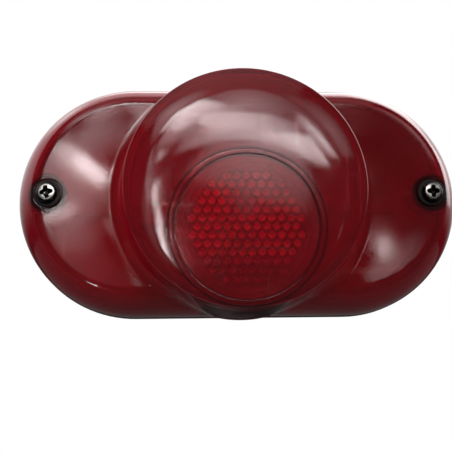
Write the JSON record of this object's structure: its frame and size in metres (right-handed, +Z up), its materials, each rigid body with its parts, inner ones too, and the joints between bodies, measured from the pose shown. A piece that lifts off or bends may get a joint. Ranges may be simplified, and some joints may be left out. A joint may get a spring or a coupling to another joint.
{
  "type": "tail light",
  "caption": "Pill-shaped red tail light with a round drum lens, low reflex reflector, twin-screw fixing and a sprung bayonet lamp holder on a cast base with rear studs.",
  "frame": {"origin": "middle of the base's flat mounting face", "axes": "+Y out of the mounting face, towards what carries the lamp; the lens looks along -Y; +X to the right seen from the lens's side; +Z up"},
  "size_m": [0.156, 0.0817, 0.0836],
  "materials": {
    "lens_red": "aged glossy translucent acrylic",
    "reflector_red": "glossy translucent acrylic over prisms",
    "clear_plastic": "clear acrylic, slightly aged",
    "pale_plastic": "moulded, matt",
    "base_black": "black paint on a casting",
    "gasket_rubber": "matt",
    "washer_rubber": "matt",
    "boot_rubber": "matt",
    "zinc_steel": "zinc plated, dulled",
    "screw_steel": "worn plating, grime in the recess",
    "bright_aluminium": "pressed and polished",
    "holder_brass": "dulled brass",
    "contact_brass": "bright brass",
    "phenolic": "brown laminate",
    "spring_steel": "bare wire",
    "black_glass": "black insulator glass",
    "solder": "dull solder",
    "bulb_glass": "clear",
    "lead_wire": "bare wire",
    "tungsten": "grey coil"
  },
  "bodies": {
    "base": {"base_housing": "base_black", "mounting_studs": "zinc_steel", "lens_gasket": "gasket_rubber", "bulb_reflector": "bright_aluminium", "socket_flange": "zinc_steel", "socket_rivets": "zinc_steel", "socket_shell": "holder_brass", "socket_spring": "spring_steel", "socket_end_plate": "phenolic", "rear_boot": "boot_rubber"},
    "lens_unit": {"lens": "lens_red", "plate_window": "clear_plastic", "reflex_reflector": "reflector_red", "reflector_backing": "pale_plastic"},
    "left_washer": {"screw_washer_left": "washer_rubber"},
    "left_screw": {"lens_screw_left": "screw_steel"},
    "right_washer": {"screw_washer_right": "washer_rubber"},
    "right_screw": {"lens_screw_right": "screw_steel"},
    "bulb": {"bulb_cap": "holder_brass", "bulb_pins": "holder_brass", "bulb_insulator": "black_glass", "bulb_contacts": "solder", "bulb_glass": "bulb_glass", "bulb_stem": "bulb_glass", "filament_supports": "lead_wire", "tail_filament": "tungsten", "stop_filament": "tungsten"},
    "carrier": {"contact_carrier": "phenolic", "contact_plungers": "contact_brass"}
  },
  "joints": [
    {"name": "lens_lift", "type": "slide", "parent": "base", "child": "lens_unit", "axis": [0, -1, 0], "range_m": [0, 0.05]},
    {"name": "left_screw_travel", "type": "slide", "parent": "lens_unit", "child": "left_washer", "axis": [0, -1, 0], "range_m": [0, 0.0091]},
    {"name": "left_screw_turn", "type": "hinge", "parent": "left_washer", "child": "left_screw", "pos_m": [-0.0665, -0.035, 0], "axis": [0, -1, 0], "range_deg": [0, 4680]},
    {"name": "right_screw_travel", "type": "slide", "parent": "lens_unit", "child": "right_washer", "axis": [0, -1, 0], "range_m": [0, 0.0091]},
    {"name": "right_screw_turn", "type": "hinge", "parent": "right_washer", "child": "right_screw", "pos_m": [0.0665, -0.035, 0], "axis": [0, -1, 0], "range_deg": [0, 4680]},
    {"name": "bulb_press", "type": "slide", "parent": "base", "child": "bulb", "axis": [0, 1, 0], "range_m": [0, 0.0025], "stiffness_N_per_m": 1500, "springref_m": -0.001, "deforming": ["socket_spring"]},
    {"name": "carrier_press", "type": "slide", "parent": "base", "child": "carrier", "axis": [0, 1, 0], "range_m": [0, 0.0025]}
  ],
  "couplings": [
    {"joint": "left_screw_turn", "follows": "left_screw_travel", "rad_per_m": 8976},
    {"joint": "right_screw_turn", "follows": "right_screw_travel", "rad_per_m": 8976},
    {"joint": "carrier_press", "follows": "bulb_press", "ratio": 1}
  ]
}
